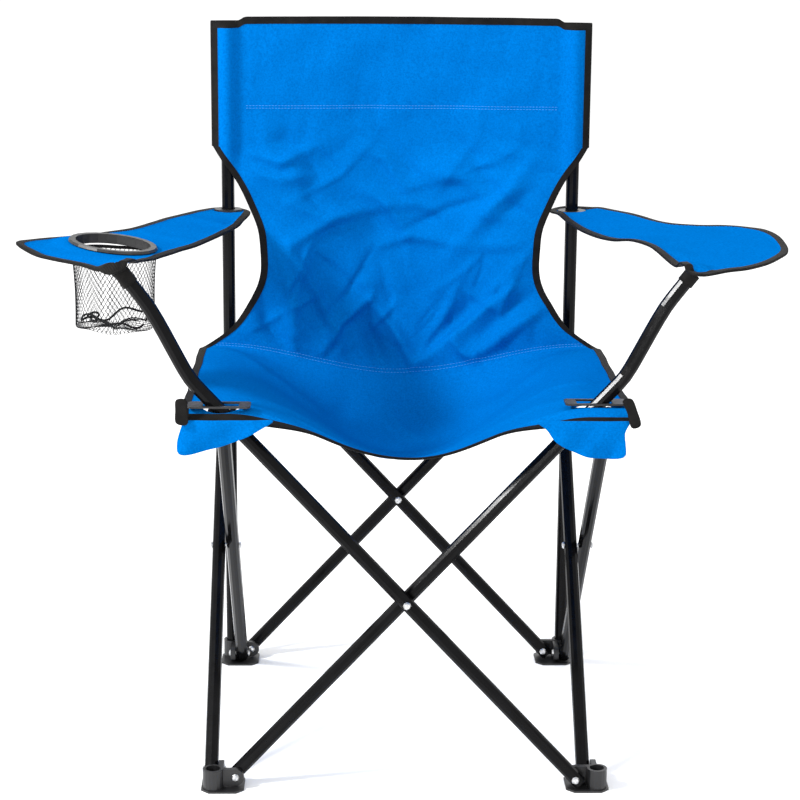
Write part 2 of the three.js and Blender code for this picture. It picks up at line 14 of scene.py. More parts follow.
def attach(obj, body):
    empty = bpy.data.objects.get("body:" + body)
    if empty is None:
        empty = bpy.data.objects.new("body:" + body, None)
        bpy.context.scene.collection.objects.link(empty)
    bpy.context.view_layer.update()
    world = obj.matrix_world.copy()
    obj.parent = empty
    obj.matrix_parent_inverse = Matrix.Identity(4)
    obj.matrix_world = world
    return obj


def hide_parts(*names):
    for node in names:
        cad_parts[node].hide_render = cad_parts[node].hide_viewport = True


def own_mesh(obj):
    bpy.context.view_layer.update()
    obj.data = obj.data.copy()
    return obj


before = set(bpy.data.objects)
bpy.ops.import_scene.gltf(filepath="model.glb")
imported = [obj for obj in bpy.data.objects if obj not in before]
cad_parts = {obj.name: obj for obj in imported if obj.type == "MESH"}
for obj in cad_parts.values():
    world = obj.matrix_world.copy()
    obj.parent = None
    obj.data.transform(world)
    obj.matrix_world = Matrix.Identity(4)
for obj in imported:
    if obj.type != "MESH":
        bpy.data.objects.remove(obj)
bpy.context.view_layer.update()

MM = 0.001
SIDES = {"left": -1, "right": 1}

# Cloth: half thicknesses, and the distances from an edge at which bound and plain sheets have points.
BINDING = 9.0
CLOTH_HALF = 0.55
ARM_HALF = 0.95
TAB_HALF = 0.8
TAPE_HALF = 1.5
TAPE_EDGE_HALF = 0.9
TAPE_STEPS = (0.0, 1.2, 4.0, BINDING - 0.5)
TAPE_PROFILE = [TAPE_EDGE_HALF, TAPE_HALF, TAPE_HALF, TAPE_HALF]
PLAIN_STEPS = (1.2,)
INNER_COLUMNS = 133
ROW_PITCH = 3.6
UPPER_ROWS = 38
STRIP_ROWS = 11

# Stations of the sling: half width, edge (y, z), middle (y, z), reach of the sag.
STATIONS = {
    "front": (246, -238.8, 444, -229, 389, 0.8),
    "hem": (247, -190, 441, -180, 377, 0.82),
    "knee": (248, -120, 436, -112, 360, 0.85),
    "centre": (251, 0, 431, 0, 333, 0.9),
    "hip": (251, 98, 432, 95, 323, 1.0),
    "rear": (250, 146, 431, 163, 341, 0.98),
    "seam": (243, 172, 431, 204, 389, 0.96),
    "turn": (213, 179, 452, 216, 415, 0.95),
    "lumbar": (191, 189, 482, 224, 441, 1.0),
    "waist": (177, 200, 560, 234, 545, 1.0),
    "shoulder": (196, 204, 614, 235, 622, 0.95),
    "under": (235, 209, 676, 229, 698, 0.9),
}
# Panels of the sling: first and last station, and the body that carries the panel.
PANELS = {
    "seat_hem": ("front", "hem", "left_seat_corner"),
    "seat_front": ("hem", "centre", "seat_front_half"),
    "seat_rear": ("centre", "seam", "seat_rear_half"),
    "back_lower": ("seam", "waist", "back_lower_panel"),
    "back_middle": ("waist", "under", "back_middle_panel"),
}
SLEEVE_INNER = 198.0
SLEEVE_FOOT = 676.0
SLING_TOP = 836.0
POST = 217.0

# Front corners of the seat: how far the cloth droops, and over what depth on each side.
DROOP = 10.5
DROOP_DEPTH = {"left": 12.0, "right": 21.0}
TUBE_SLOT_X = 203
TUBE_SLOT = (20.5, 9.4)

# Arms: planes of the tubes under them, tube ends (x, top of the cloth), and the cup's place.
FRONT_TUBE_Y = {"left": -220.3, "right": -203.7}
TUBE_END = {"left": (-306, 604.6), "right": (302, 600.2)}
ARM_Z = 594.0
ARM_SLOPE = 0.1228
EYELET_Z = 594.4
EYELET_HOLE = 17.9
POCKET_RADIUS = 8.9
CUP = (-330.0, -85.0)
CUP_HOLE = 44.9

NET_RADIUS = 47.4
NET_CORDS = 56
NET_STEPS = 52
NET_WALL = 0.7
CORD_RADIUS = 0.27
NET_RIM_RADIUS = 1.1
GATHER_RADIUS = 1.3

STITCH_PITCH = 4.0
STITCH_LENGTH = 2.8
STITCH_RADIUS = 0.24
STITCH_LIFT = 0.72
STITCH_ROWS = {"back_stitches_low": 723.4, "back_stitches_high": 726.6}

CAMERA_PLACE = (-0.06699, -2.50879, 0.99545)
CAMERA_TURN = (1.44, 13.33, 0.46)
CAMERA_LENS = 97.76
# Lamps: place, target, size in metres, power in watts.
LAMPS = {
    "key": ((-2.7, -1.3, 2.5), (0, 0, 0.45), 0.55, 165),
    "fill": ((2.2, -2.6, 1.5), (0, 0, 0.4), 1.2, 16),
    "back": ((0.6, 3.0, 2.4), (0, 0, 0.5), 2.0, 20),
    "strip": ((-1.0, -3.4, 0.9), (0, 0, 0.4), 0.2, 12),
    "edge": ((1.3, -2.3, 2.5), (0, 0, 0.45), 0.16, 13),
}
WORLD_STRENGTH = 1.08

# Short folds: seed, count, centre, reach, turns in degrees, length, height, width.
LOW_BACK_FOLDS = (11, 40, (0, 475), (165, 65), (-85, -25), 70, 2.8, 5.5)
HIGH_BACK_FOLDS = (12, 20, (0, 615), (165, 62), (-60, 60), 95, 5.0, 9)
SHORT_SEAT_FOLDS = (13, 18, (0, -20), (190, 170), (-80, 80), 110, 1.5, 13)
BACK_FOLD_GAIN = 2.4
SEAT_FOLD_GAIN = 1.7

# Folds in the back and seat: points (x, z) on the back or (x, y) on the seat, height, width, skew.
BACK_FOLDS = [
    ([(-152, 540), (-141, 498), (-134, 426)], 5.0, 11, 0.5),
    ([(-181, 490), (-165, 455), (-146, 430)], -5.5, 14, 0.0),
    ([(-140, 546), (-110, 498), (-74, 420)], 4.2, 9, -0.6),
    ([(-120, 500), (-100, 455), (-88, 425)], -4.0, 12, 0.0),
    ([(-97, 418), (-76, 452), (-40, 480)], 3.6, 8, 0.3),
    ([(-38, 481), (-3, 434), (18, 396)], 5.0, 9, 0.5),
    ([(-42, 450), (-30, 425), (-22, 402)], -6.0, 13, 0.0),
    ([(148, 503), (84, 447), (22, 395)], 5.0, 10, 0.6),
    ([(104, 494), (72, 456), (40, 424)], -4.0, 14, 0.0),
    ([(70, 440), (78, 420), (104, 396)], 3.5, 9, 0.0),
    ([(189, 482), (140, 447), (98, 412)], 4.5, 10, -0.4),
    ([(176, 500), (130, 462), (100, 436)], -3.2, 12, 0.0),
    ([(-45, 622), (-18, 604), (16, 556)], 3.4, 12, 0.5),
    ([(-75, 610), (-45, 590), (-15, 560)], -2.2, 16, 0.0),
    ([(66, 540), (124, 606), (166, 658)], 3.0, 14, -0.4),
    ([(100, 556), (140, 600), (172, 640)], -2.0, 15, 0.0),
    ([(-122, 630), (-110, 606), (-100, 592)], -2.6, 13, 0.0),
    ([(-140, 605), (-95, 587), (-60, 590)], 2.2, 10, 0.0),
    ([(-26, 549), (17, 562), (68, 553)], 2.2, 9, 0.4),
    ([(-176, 562), (-150, 548), (-128, 520)], 2.4, 10, 0.0),
    ([(184, 560), (150, 530), (126, 503)], 2.2, 12, 0.0),
    ([(-150, 640), (-110, 660), (-60, 655)], 1.6, 18, 0.0),
    ([(20, 634), (60, 655), (100, 650)], 1.6, 16, 0.0),
    ([(-10, 520), (5, 480), (30, 450)], 2.0, 15, 0.0),
    ([(-60, 530), (-50, 505), (-20, 500)], 1.6, 14, 0.0),
    ([(-188, 668), (-152, 655), (-116, 668)], 3.4, 9, 0.3),
    ([(-160, 690), (-128, 672), (-104, 640)], -3.6, 10, 0.0),
    ([(-192, 645), (-150, 634), (-112, 640)], 2.4, 9, 0.0),
    ([(104, 676), (146, 668), (186, 652)], 2.8, 9, 0.3),
    ([(60, 690), (92, 664), (110, 636)], -2.6, 12, 0.0),
    ([(-60, 676), (-20, 660), (14, 612)], 2.6, 10, 0.5),
]
SEAT_FOLDS = [
    ([(-20, 190), (-5, 150), (20, 110)], 3.5, 12, 0.4),
    ([(-60, 186), (-70, 140), (-90, 90)], -2.0, 20, 0.0),
    ([(60, 186), (90, 130), (130, 80)], 1.8, 22, 0.0),
    ([(-200, -170), (-130, -120), (-60, -90)], 2.0, 26, 0.0),
    ([(200, -170), (140, -130), (70, -110)], 1.8, 24, 0.0),
    ([(-60, -200), (-20, -120), (20, -40)], -1.5, 30, 0.0),
    ([(-215, 150), (-170, 120), (-110, 110)], 1.6, 18, 0.0),
    ([(215, 140), (170, 110), (120, 100)], 1.6, 18, 0.0),
]

# Edge of each arm, from the back of its inner edge round its front to the back: (|x|, y, z).
ARM_EDGES = {
    "left": [
        (189, 212, 590.5), (195, 175, 588.5), (200, 130, 587.8), (212, 70, 588.6), (225, 25, 588.4),
        (240, -20, 587.6), (256, -55, 588.0), (266, -88, 588.5), (279, -128, 590.8), (290, -182, 597.0),
        (294, -212, 600.0), (301, -233, 598.5), (307, -238, 597.5), (313, -239, 595.0), (320, -237, 593.2),
        (335, -226, 595.0), (353, -209, 597.0), (370, -195, 598.3), (388, -184, 600.0), (402, -174, 600.8),
        (414, -156, 601.0), (428, -141, 607.5), (432, -122, 609.0), (420, -90, 605.0), (397, -55, 602.0),
        (376, -25, 599.8), (352, 3, 598.8), (322, 36, 599.0), (302, 88, 598.0), (290, 128, 597.0),
        (271, 168, 597.0), (254, 206, 595.5), (237, 236, 594.0), (213, 245, 592.5), (195, 233, 591.0),
    ],
    "right": [
        (189, 212, 595.5), (195, 175, 597.5), (200, 130, 597.0), (212, 70, 594.2), (225, 25, 593.5),
        (240, -20, 596.5), (256, -55, 603.0), (271, -92, 602.5), (278, -119, 600.0), (284, -144, 596.0),
        (289, -168, 593.0), (292, -190, 593.5), (295, -212, 594.5), (301, -230, 593.5), (313, -231, 592.5),
        (328, -221, 592.5), (348, -209, 593.5), (370, -198, 594.5), (391, -180, 596.0), (411, -152, 598.5),
        (424, -124, 599.5), (431, -88, 600.5), (430, -42, 605.0), (421, 0, 606.5), (405, 31, 604.5),
        (384, 47, 602.5), (355, 53, 603.0), (330, 62, 603.0), (312, 86, 602.5), (295, 126, 602.0),
        (278, 166, 601.5), (256, 206, 601.0), (237, 236, 599.5), (213, 245, 598.0), (195, 233, 596.5),
    ],
}
# Centre lines of the pockets over the tube ends: (|x|, y, z).
POCKET_LINES = {
    "left": [
        (297.5, -220.3, 579.4), (301, -220.3, 583.9), (305, -220.3, 589), (309, -220.5, 593.2),
        (312, -221, 595.6),
    ],
    "right": [(297.5, -203.7, 579.4), (301, -203.7, 583.9), (304.5, -203.7, 588.4), (306.5, -203.7, 590.8)],
}
# Edges of the pieces at the front corners, seen from the front: (|x|, z).
POUCH_EDGES = {
    "left": [
        (242, 433), (246, 424), (250, 408), (248, 396), (232, 396), (211, 401), (182, 412), (160, 424),
        (146, 434), (170, 434.5), (210, 434.5), (236, 434.5),
    ],
    "right": [
        (239, 433), (234, 421), (235, 408), (235, 394), (222, 389), (204, 391), (186, 396), (161, 409),
        (149, 424), (138, 434), (170, 434.5), (205, 434.5), (234, 434.5),
    ],
}
TAB_EDGES = {
    "left": [(250, 457), (239, 457), (238, 446), (238, 431), (250, 432), (251, 445)],
    "right": [(230, 457), (240, 459), (246, 446), (250, 431), (240, 428), (235, 444)],
}


def smoothstep(low, high, value):
    t = np.clip((value - low) / (high - low), 0, 1)
    return t * t * (3 - 2 * t)


# ---------------------------------------------------------------- materials


def new_material(name):
    material = bpy.data.materials.new(name)
    material.use_nodes = True
    return material, material.node_tree, material.node_tree.nodes["Principled BSDF"].inputs


def add_node(tree, kind, plain, linked):
    """A node with its plain inputs set and its linked inputs joined to other outputs."""
    node = tree.nodes.new(kind)
    for name, value in plain.items():
        node.inputs[name].default_value = value
    for name, output in linked.items():
        tree.links.new(output, node.inputs[name])
    return node


def place(tree, kind="Object"):
    """Coordinates on the object or on the cloth's own grid."""
    return tree.nodes.new("ShaderNodeTexCoord").outputs[kind]


def noise(tree, vector, scale, detail=3.0, rough=0.55):
    plain = {"Scale": scale, "Detail": detail, "Roughness": rough}
    return add_node(tree, "ShaderNodeTexNoise", plain, {"Vector": vector}).outputs["Fac"]


def to_range(tree, factor, low, high):
    plain = {"To Min": low, "To Max": high}
    return add_node(tree, "ShaderNodeMapRange", plain, {"Value": factor}).outputs["Result"]


def bump(tree, height, strength, distance, below=None):
    plain = {"Strength": strength, "Distance": distance}
    linked = {"Height": height} if below is None else {"Height": height, "Normal": below}
    return add_node(tree, "ShaderNodeBump", plain, linked).outputs["Normal"]


def waves(tree, vector, direction, scale, distortion):
    plain = {"Scale": scale, "Distortion": distortion}
    node = add_node(tree, "ShaderNodeTexWave", plain, {"Vector": vector})
    node.bands_direction = direction
    return node.outputs["Fac"]


def colour(tree, shader, factor, low, high):
    """The base colour runs from low to high with the factor."""
    node = tree.nodes.new("ShaderNodeValToRGB")
    for element, position, tone in zip(node.color_ramp.elements, (0.35, 0.65), (low, high)):
        element.position = position
        element.color = (*tone, 1)
    tree.links.new(factor, node.inputs["Fac"])
    tree.links.new(node.outputs["Color"], shader["Base Color"])


def cloth_material(name, low, high, roughness, pitch, sheen):
    """Plain weave with threads of one pitch, in metres."""
    material, tree, shader = new_material(name)
    plane = place(tree, "UV")
    solid = place(tree)
    colour(tree, shader, noise(tree, solid, 420.0, 4.0, 0.8), low, high)
    weave = tree.nodes.new("ShaderNodeMath")
    weave.operation = "MULTIPLY"
    for socket, axis in zip(weave.inputs, "XY"):
        tree.links.new(waves(tree, plane, axis, 0.314 / pitch, 0.4), socket)
    rough = to_range(tree, noise(tree, solid, 60.0), roughness - 0.06, roughness + 0.06)
    tree.links.new(rough, shader["Roughness"])
    soft = bump(tree, noise(tree, solid, 38.0), 0.25, 0.002)
    fine = bump(tree, noise(tree, plane, 900.0, 2.0), 0.2, 0.0004, soft)
    tree.links.new(bump(tree, weave.outputs["Value"], 0.35, 0.0003, fine), shader["Normal"])
    shader["Sheen Weight"].default_value = sheen
    shader["Sheen Roughness"].default_value = 0.4
    shader["Specular IOR Level"].default_value = 0.0
    return material


def tape_material():
    material, tree, shader = new_material("black_binding_tape")
    dust = noise(tree, place(tree), 90.0, 4.0)
    colour(tree, shader, dust, (0.0025, 0.0024, 0.0024), (0.006, 0.0055, 0.0052))
    ribs = waves(tree, place(tree, "UV"), "DIAGONAL", 260.0, 1.0)
    tree.links.new(bump(tree, ribs, 0.5, 0.0004), shader["Normal"])
    shader["Roughness"].default_value = 0.7
    shader["Specular IOR Level"].default_value = 0.12
    return material


def tube_material():
    material, tree, shader = new_material("black_powder_coat")
    solid = place(tree)
    colour(tree, shader, noise(tree, solid, 45.0, 5.0), (0.002, 0.002, 0.0022), (0.0035, 0.0035, 0.004))
    tree.links.new(to_range(tree, noise(tree, solid, 140.0, 4.0), 0.1, 0.2), shader["Roughness"])
    tree.links.new(bump(tree, noise(tree, solid, 700.0), 0.06, 0.0004), shader["Normal"])
    shader["Specular IOR Level"].default_value = 0.07
    shader["Coat Weight"].default_value = 0.06
    shader["Coat Roughness"].default_value = 0.1
    return material


def plastic_material():
    material, tree, shader = new_material("black_moulded_plastic")
    solid = place(tree)
    colour(tree, shader, noise(tree, solid, 60.0, 4.0), (0.004, 0.004, 0.0045), (0.008, 0.008, 0.009))
    tree.links.new(to_range(tree, noise(tree, solid, 120.0), 0.34, 0.52), shader["Roughness"])
    tree.links.new(bump(tree, noise(tree, solid, 1500.0), 0.12, 0.0003), shader["Normal"])
    return material


def zinc_material():
    material, tree, shader = new_material("zinc_plated_steel")
    solid = place(tree)
    tone = noise(tree, solid, 300.0, 4.0)
    colour(tree, shader, tone, (0.42, 0.43, 0.44), (0.72, 0.72, 0.72))
    tree.links.new(to_range(tree, tone, 0.22, 0.4), shader["Roughness"])
    tree.links.new(bump(tree, noise(tree, solid, 900.0), 0.1, 0.0003), shader["Normal"])
    shader["Metallic"].default_value = 1.0
    return material


def thread_material():
    material, tree, shader = new_material("pale_blue_thread")
    twist = noise(tree, place(tree), 1500.0)
    colour(tree, shader, twist, (0.03, 0.22, 0.60), (0.07, 0.30, 0.70))
    tree.links.new(bump(tree, twist, 0.3, 0.0003), shader["Normal"])
    shader["Roughness"].default_value = 0.6
    return material


BLUE = cloth_material("blue_polyester", (0.0, 0.090, 0.325), (0.0, 0.138, 0.47), 0.66, 0.0009, 0.0)
TAPE = tape_material()
TUBE = tube_material()
PLASTIC = plastic_material()
ZINC = zinc_material()
THREAD = thread_material()
NET = cloth_material("black_net_cord", (0.008, 0.008, 0.009), (0.02, 0.02, 0.02), 0.6, 0.0005, 0.1)

# ---------------------------------------------------------------- meshes


def mesh_object(name, points, faces, materials, face_slots=None, uvs=None, smooth=True):
    mesh = bpy.data.meshes.new(name)
    mesh.from_pydata([tuple(p * MM) for p in np.asarray(points, float)], [], [tuple(f) for f in faces])
    for material in materials:
        mesh.materials.append(material)
    if face_slots is not None:
        mesh.polygons.foreach_set("material_index", np.asarray(face_slots, dtype=np.int32))
    if uvs is not None:
        layer = mesh.uv_layers.new(name="cloth")
        corners = np.empty(len(mesh.loops), dtype=np.int32)
        mesh.loops.foreach_get("vertex_index", corners)
        layer.data.foreach_set("uv", (np.asarray(uvs, float)[corners] * MM).ravel())
    mesh.polygons.foreach_set("use_smooth", np.full(len(mesh.polygons), smooth))
    mesh.update()
    piece = bpy.data.objects.new(name, mesh)
    bpy.context.scene.collection.objects.link(piece)
    return piece


def grid_sheet(name, middle, normals, half, slots, uvs):
    """A closed sheet from a grid of middle points, pushed out by half on each side of it."""
    rows, columns = middle.shape[:2]
    count = rows * columns
    top = middle + normals * half[..., None]
    bottom = middle - normals * half[..., None]
    index = np.arange(count).reshape(rows, columns)
    a, b = index[:-1, :-1].ravel(), index[:-1, 1:].ravel()
    c, d = index[1:, 1:].ravel(), index[1:, :-1].ravel()
    loop = np.concatenate([index[0, :-1], index[:-1, -1], index[-1, :0:-1], index[:0:-1, 0]])
    following = np.roll(loop, -1)
    rim = np.stack([following, loop, loop + count, following + count], 1)
    faces = np.concatenate([np.stack([a, b, c, d], 1), np.stack([d, c, b, a], 1) + count, rim])
    edge_slots = [slots[0, :], slots[:, -1], slots[-1, ::-1], slots[::-1, 0]]
    face_slots = np.concatenate([slots.ravel(), slots.ravel(), *edge_slots])
    points = np.concatenate([top.reshape(-1, 3), bottom.reshape(-1, 3)])
    piece = mesh_object(name, points, faces, [BLUE, TAPE], face_slots, np.tile(uvs.reshape(-1, 2), (2, 1)))
    out = normals.reshape(-1, 3)
    piece.data.normals_split_custom_set_from_vertices(np.concatenate([out, -out]).tolist())
    return piece


def grid_normals(grid):
    across = np.gradient(grid, axis=1)
    along = np.gradient(grid, axis=0)
    normals = np.cross(across, along)
    return normals / np.linalg.norm(normals, axis=2, keepdims=True)


def hermite(knots, values, at):
    """Smooth curve through values at uneven knots."""
    knots = np.asarray(knots, float)
    values = np.asarray(values, float)
    steps = np.diff(knots)
    slopes = np.diff(values, axis=0) / steps[:, None]
    tangents = np.empty_like(values)
    tangents[0], tangents[-1] = slopes[0], slopes[-1]
    weight = steps[1:, None] + steps[:-1, None]
    tangents[1:-1] = (slopes[:-1] * steps[1:, None] + slopes[1:] * steps[:-1, None]) / weight
    span = np.clip(np.searchsorted(knots, at, side="right") - 1, 0, len(knots) - 2)
    h = steps[span][:, None]
    t = ((at - knots[span]) / steps[span])[:, None]
    p0, p1, m0, m1 = values[span], values[span + 1], tangents[span], tangents[span + 1]
    return (
        (2 * t**3 - 3 * t**2 + 1) * p0
        + (t**3 - 2 * t**2 + t) * h * m0
        + (3 * t**2 - 2 * t**3) * p1
        + (t**3 - t**2) * h * m1
    )


# ---------------------------------------------------------------- creases


def fold_height(x, y, folds):
    """Height of crumpled cloth at points of a plane: each fold is a soft crest along a polyline."""
    total = np.zeros_like(x)
    for line, height, width, skew in folds:
        best = np.full_like(x, 1e9)
        side = np.zeros_like(x)
        share = np.zeros_like(x)
        lengths = [math.dist(p, q) for p, q in zip(line, line[1:])]
        done = 0.0
        for (x0, y0), (x1, y1), length in zip(line, line[1:], lengths):
            dx, dy = (x1 - x0) / length, (y1 - y0) / length
            t = np.clip((x - x0) * dx + (y - y0) * dy, 0, length)
            ex, ey = x - (x0 + t * dx), y - (y0 + t * dy)
            distance = np.hypot(ex, ey)
            nearer = distance < best
            side = np.where(nearer, ex * -dy + ey * dx, side)
            share = np.where(nearer, (done + t) / sum(lengths), share)
            best = np.minimum(best, distance)
            done += length
        spread = width * (1 + skew * np.tanh(side / width))
        crest = 1 / (1 + (best / spread) ** 2) ** 1.5
        total += height * crest * np.sin(math.pi * (0.12 + 0.76 * share)) ** 0.8
    return total


def short_folds(seed, count, centre, reach, turns, length, height, width):
    """Many short folds scattered over one region, each along a slightly bent line."""
    random = np.random.default_rng(seed)
    folds = []
    for _ in range(count):
        x = centre[0] + random.uniform(-reach[0], reach[0])
        y = centre[1] + random.uniform(-reach[1], reach[1])
        turn = math.radians(random.uniform(*turns)) * (1 if x < centre[0] else -1)
        if random.uniform() < 0.25:
            turn = -turn
        half = length * random.uniform(0.3, 0.7)
        dx, dy = half * math.cos(turn), half * math.sin(turn)
        bend = random.uniform(-0.2, 0.2) * half
        bent = (x - bend * math.sin(turn), y + bend * math.cos(turn))
        line = [(x - dx, y - dy), bent, (x + dx, y + dy)]
        way = 1 if random.uniform() < 0.6 else -1
        crest = way * height * random.uniform(0.5, 1.2)
        folds.append((line, crest, width * random.uniform(0.7, 1.3), 0.4 * way))
    return folds


def ripple(x, y, seed, size):
    """Smooth random height from a few crossing waves, about one unit high."""
    random = np.random.default_rng(seed)
    total = np.zeros_like(x)
    for _ in range(9):
        angle = random.uniform(0, math.pi)
        pitch = size * random.uniform(0.6, 1.7)
        phase = random.uniform(0, 6.28)
        total += np.sin((x * math.cos(angle) + y * math.sin(angle)) * 6.28 / pitch + phase)
    return total / 4.0


def back_creases(x, z):
    folds = short_folds(*LOW_BACK_FOLDS) + short_folds(*HIGH_BACK_FOLDS)
    height = BACK_FOLD_GAIN * fold_height(x, z, BACK_FOLDS) + fold_height(x, z, folds)
    height = height + 0.9 * ripple(x, z, 3, 90) + 0.5 * ripple(x, z, 5, 46)
    return height * (1 - 0.5 * smoothstep(630, 690, z))


def seat_creases(x, y):
    height = SEAT_FOLD_GAIN * fold_height(x, y, SEAT_FOLDS)
    return height + fold_height(x, y, short_folds(*SHORT_SEAT_FOLDS)) + 0.7 * ripple(x, y, 8, 120)


# ---------------------------------------------------------------- the sling


def column_places(half):
    """Places across one row, in millimetres from the middle: binding at both edges."""
    edge = half - np.array(TAPE_STEPS)
    inner = half - BINDING
    return np.concatenate([-edge, np.linspace(-inner, inner, INNER_COLUMNS), edge[::-1]])


def sag_share(u, reach):
    """Share of the sag at u: 1 in the middle and 0 at the edge."""
    raw = 0.5 * (1 + np.cos(math.pi * np.minimum(np.abs(u) / reach, 1)))
    rest = 0.5 * (1 + np.cos(math.pi * np.minimum(1 / reach, 1)))
    return (raw - rest) / (1 - rest)


def post_bulge(x):
    """How far the front skin of a sleeve stands in front of the posts' plane."""
    return 9.6 * np.exp(-(np.abs(np.abs(x) - POST) / 11.0) ** 2.4) + 1.0


def back_depth(x, mid_y, bulge):
    """Depth of the cloth: a hollow panel between the posts, and skin that goes round them."""
    inside = sag_share(x / SLEEVE_INNER, 1.0)
    panel = (POST - 1.0) * (1 - inside) + mid_y * inside
    return np.where(np.abs(x) < SLEEVE_INNER, panel, POST - bulge)


def sling_rows():
    """Rows of the sling from the front hem to the foot of the sleeves, with each station's row."""
    values = np.array(list(STATIONS.values()), float)
    middles = (values[:, 1:3] + values[:, 3:5]) / 2
    knots = np.concatenate([[0], np.cumsum(np.linalg.norm(np.diff(middles, axis=0), axis=1))])
    at = [0.0]
    for start, end in zip(knots, knots[1:]):
        steps = max(2, round((end - start) / ROW_PITCH))
        at.extend(np.linspace(start, end, steps + 1)[1:])
    at = np.array(at)
    # The front binding has rows of its own.
    at = np.concatenate([TAPE_STEPS, [BINDING], at[at > BINDING + 2]])
    station_row = {name: int(np.argmin(np.abs(at - knot))) for name, knot in zip(STATIONS, knots)}
    return hermite(knots, values, at), at, station_row


def sling_surface():
    """Middle points and normals of the sling, with the place of each column and row."""
    rows, along, station_row = sling_rows()
    half, edge_y, edge_z, mid_y, mid_z, reach = (value[:, None] for value in rows.T)
    along = along[:, None]
    half = half + 0.8 * np.sin(along / 17.0) * np.sin(along / 41.0 + 1.0)
    x = np.stack([column_places(h) for h in half[:, 0]])
    share = sag_share(x / half, reach)
    y = edge_y * (1 - share) + mid_y * share
    z = edge_z * (1 - share) + mid_z * share
    # Near the foot of the sleeves the cloth wraps round the front of the posts.
    wrap = smoothstep(622, SLEEVE_FOOT, edge_z)
    y = y * (1 - wrap) + back_depth(x, mid_y, post_bulge(x)) * wrap
    # At the corners the cloth falls off in front of the joint plates, further back on the right.
    depth = np.where(x > 0, DROOP_DEPTH["right"], DROOP_DEPTH["left"])
    corner = smoothstep(95, 165, np.abs(x))
    z = z - DROOP * corner * (1 - np.clip(along / depth, 0, 1) ** 1.6)
    middle = np.stack([x, y, z], axis=2)
    beyond_seam = along - along[station_row["seam"]]
    on_back = smoothstep(0, 1, beyond_seam / 30 + 0.5)
    fade = np.clip((half - np.abs(x)) / 34, 0, 1) ** 0.7
    creases = back_creases(x, z) * on_back + seat_creases(x, y) * (1 - on_back)
    push = creases * fade - 1.6 * np.exp(-(beyond_seam / 7.0) ** 2) * fade
    middle = middle + grid_normals(middle) * push[..., None]
    return middle, grid_normals(middle), x, along[:, 0], station_row


def sling_pieces():
    """The sheets below the sleeves with their flat sizes, and the rows that other cloth joins."""
    middle, normals, x, along, station_row = sling_surface()
    rows, columns = x.shape
    half = np.tile(TAPE_PROFILE + [CLOTH_HALF] * INNER_COLUMNS + TAPE_PROFILE[::-1], (rows, 1))
    half[:5] = np.array([*TAPE_PROFILE, CLOTH_HALF])[:, None]
    half[4, :4] = TAPE_HALF
    half[4, -4:] = TAPE_HALF
    slots = np.tile([1] * 4 + [0] * (INNER_COLUMNS - 1) + [1] * 4, (rows - 1, 1))
    slots[:4] = 1
    uvs = np.stack([x, np.tile(along[:, None], (1, columns))], axis=2)
    made = {}
    for node, (first, last, _) in PANELS.items():
        i, j = station_row[first], station_row[last]
        part = slice(i, j + 1)
        piece = grid_sheet(node + "_cloth", middle[part], normals[part], half[part], slots[i:j], uvs[part])
        made[node] = (piece, (2 * STATIONS[first][0] * MM, float(along[j] - along[i]) * MM))
    # A strip behind the top of the middle panel, sewn to the upper back, closes the folded chair.
    row = station_row["under"]
    low = row - STRIP_ROWS
    part = (slice(low, row + 1), slice(4, columns - 4))
    behind = middle[part] - 2.4 * normals[part]
    thin = np.full(behind.shape[:2], CLOTH_HALF)
    blue = np.zeros((STRIP_ROWS, columns - 9), dtype=int)
    piece = grid_sheet("back_strip_cloth", behind, normals[part], thin, blue, uvs[part])
    made["back_strip"] = (piece, (2 * STATIONS["under"][0] * MM, float(along[row] - along[low]) * MM))
    seam = station_row["seam"]
    seams = [(middle[k, 4:-4], normals[k, 4:-4]) for k in (seam, seam + 1)]
    return made, middle[row], normals[row], seams


def upper_back(foot_row):
    """The front skin of the back above the foot of the sleeves, round the posts as well."""
    x, foot_y, foot_z = foot_row.T
    top = SLING_TOP - 4.6 * smoothstep(193, 203, np.abs(x)) + 1.2 * np.cos(x / 130.0)
    heights = [foot_z + (top - BINDING - foot_z) * step for step in np.linspace(0, 1, UPPER_ROWS)]
    heights += [top - drop for drop in TAPE_STEPS[::-1]]
    z = np.array(heights)
    xs = np.tile(x, (len(z), 1))
    climb = np.clip((z - 690) / (top - 690), 0, 1)
    close = 1 - 0.86 * smoothstep(-9, -1, z - top)
    y = back_depth(xs, 229.5 - 11.5 * climb**1.2, post_bulge(xs) * close)
    inner = np.clip((SLEEVE_INNER - np.abs(xs)) / 40, 0, 1)
    wave = 1.1 * ripple(xs, z * 0.55, 21, 75) + 0.6 * ripple(xs, z, 23, 40)
    lines = 1.3 * np.exp(-((np.abs(xs) - 186) / 5.0) ** 2) * (0.6 + 0.4 * np.sin(z / 13.0))
    y = y + (foot_y - y[0]) * (1 - smoothstep(0, 70, z - foot_z))
    y = y - (wave * inner + lines * inner**0.5 * 0.5) * smoothstep(0, 24, z - foot_z)
    return np.stack([xs, y, z], axis=2)


def bound_top(rows, columns):
    """Half thickness and slots of a sheet with binding along its last rows only."""
    half = np.full((rows, columns), CLOTH_HALF)
    half[-4:] = np.array(TAPE_PROFILE[::-1])[:, None]
    slots = np.zeros((rows - 1, columns - 1), dtype=int)
    slots[-4:] = 1
    return half, slots


